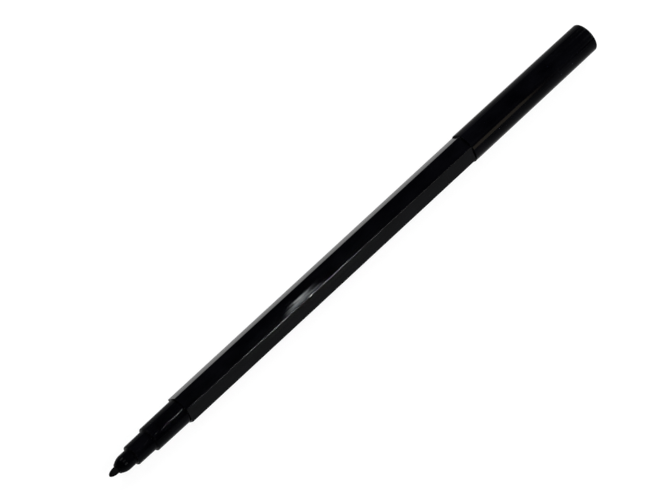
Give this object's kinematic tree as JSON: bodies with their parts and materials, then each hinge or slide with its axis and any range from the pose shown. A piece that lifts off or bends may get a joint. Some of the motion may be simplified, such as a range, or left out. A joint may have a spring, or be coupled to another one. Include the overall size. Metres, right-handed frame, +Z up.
{
  "type": "felt tip marker",
  "caption": "Slim hexagonal fibre-tip marker with a stepped round nose, bullet nib and a plain round push-on cap posted on its rear spigot.",
  "frame": {"origin": "bottom centre of the box round the posted pen, on the surface that it lies on", "axes": "+X along the pen from the nib to the closed end of the posted cap, +Z up out of a barrel flat"},
  "size_m": [0.1754, 0.0086, 0.0086],
  "materials": {
    "barrel_plastic": "gloss moulded",
    "section_plastic": "gloss moulded",
    "nib_fibre": "ink-soaked bonded fibre",
    "reservoir_fibre": "ink-soaked bonded fibre",
    "film_plastic": "clear film over dark fibre",
    "tube_plastic": "natural extruded",
    "plug_plastic": "gloss moulded",
    "cap_plastic": "gloss moulded",
    "seal_plastic": "natural moulded"
  },
  "bodies": {
    "pen": {"barrel": "barrel_plastic", "front_section": "section_plastic", "nib": "nib_fibre", "ink_reservoir": "reservoir_fibre", "reservoir_film": "film_plastic", "breather_tube": "tube_plastic", "end_plug": "plug_plastic"},
    "cap": {"cap": "cap_plastic", "inner_cap": "seal_plastic"}
  },
  "joints": [
    {"name": "cap_pull", "type": "slide", "parent": "pen", "child": "cap", "axis": [1, 0, 0], "range_m": [0, 0.02]}
  ]
}
